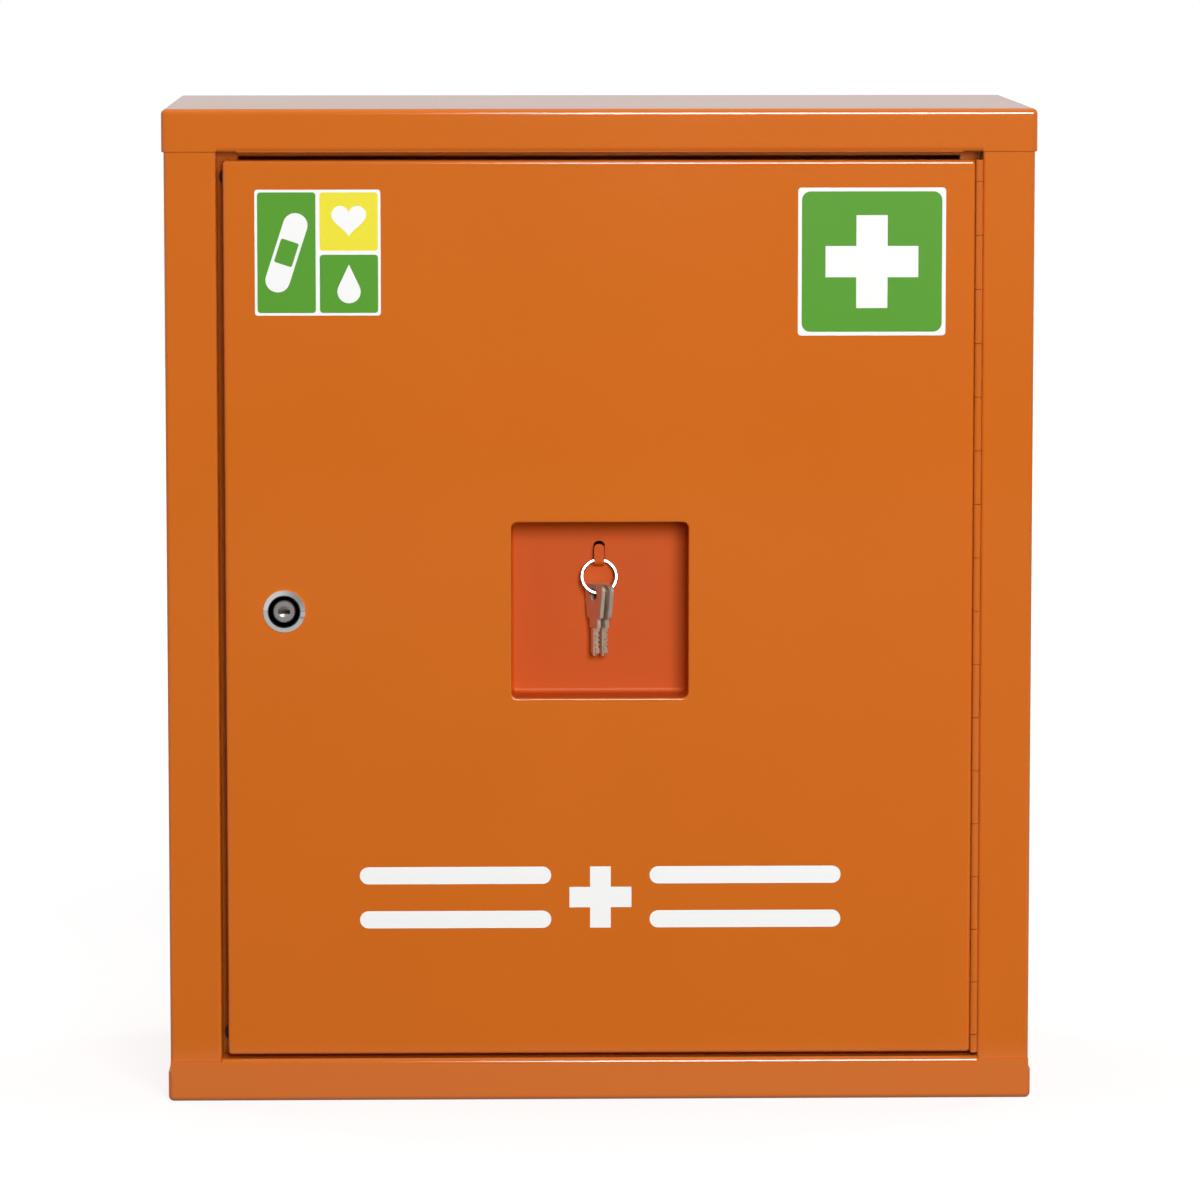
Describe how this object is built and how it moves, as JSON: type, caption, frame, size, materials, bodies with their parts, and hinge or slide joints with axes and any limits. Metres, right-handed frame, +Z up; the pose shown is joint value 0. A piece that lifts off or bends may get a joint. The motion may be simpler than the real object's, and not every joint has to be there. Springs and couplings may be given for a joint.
{
  "type": "first aid cabinet",
  "caption": "Orange sheet steel first aid cabinet for a wall, with a lockable door on a continuous hinge, a key recess with hook and keys, lapped covers and inner shelves.",
  "frame": {"origin": "middle of the four wall holes, on the back face", "axes": "+Z up, +Y into the wall, +X to the right as seen from the front; the door faces -Y"},
  "size_m": [0.4272, 0.2024, 0.49],
  "materials": {
    "orange_paint": "gloss powder coat",
    "hinge_steel": "drawn wire",
    "buffer_rubber": "matt",
    "lock_chrome": "polished",
    "lock_zinc": "zinc plated",
    "plug_nickel": "satin nickel",
    "wafer_brass": "stamped",
    "ring_steel": "polished",
    "key_nickel": "nickel plated"
  },
  "bodies": {
    "cabinet": {"left_side_panel": "orange_paint", "right_side_panel": "orange_paint", "back_panel": "orange_paint", "top_cover": "orange_paint", "bottom_cover": "orange_paint", "upper_shelf": "orange_paint", "lower_shelf": "orange_paint", "upper_left_rail": "orange_paint", "upper_right_rail": "orange_paint", "lower_left_rail": "orange_paint", "lower_right_rail": "orange_paint", "door_buffers": "buffer_rubber", "hinge_frame_leaf": "orange_paint", "hinge_pin": "hinge_steel"},
    "door": {"door_panel": "orange_paint", "key_box": "orange_paint", "hinge_door_leaf": "orange_paint", "lock_housing": "lock_chrome", "lock_nut": "lock_zinc"},
    "lock_core": {"lock_plug": "plug_nickel", "lock_wafers": "wafer_brass", "lock_cam": "lock_zinc", "cam_washer": "lock_zinc", "cam_screw": "lock_zinc"},
    "key_ring": {"key_ring": "ring_steel"},
    "key_one": {"key_one": "key_nickel"},
    "key_two": {"key_two": "key_nickel"}
  },
  "joints": [
    {"name": "door_swing", "type": "hinge", "parent": "cabinet", "child": "door", "pos_m": [0.1853, -0.2, 0], "axis": [0, 0, 1], "range_deg": [0, 170]},
    {"name": "lock_turn", "type": "hinge", "parent": "door", "child": "lock_core", "pos_m": [-0.155, -0.2, -0.0009], "axis": [0, 1, 0], "range_deg": [0, 90]},
    {"name": "ring_swing", "type": "hinge", "parent": "door", "child": "key_ring", "pos_m": [0, -0.1795, 0.0218], "axis": [-1, 0, 0], "range_deg": [0, 40]},
    {"name": "key_one_swing", "type": "hinge", "parent": "key_ring", "child": "key_one", "pos_m": [-0.0021, -0.18531, 0.00543], "axis": [-0.8387, -0.5446, 0], "range_deg": [0, 35]},
    {"name": "key_two_swing", "type": "hinge", "parent": "key_ring", "child": "key_two", "pos_m": [0.0021, -0.18531, 0.00543], "axis": [-0.8387, -0.5446, 0], "range_deg": [0, 35]}
  ]
}
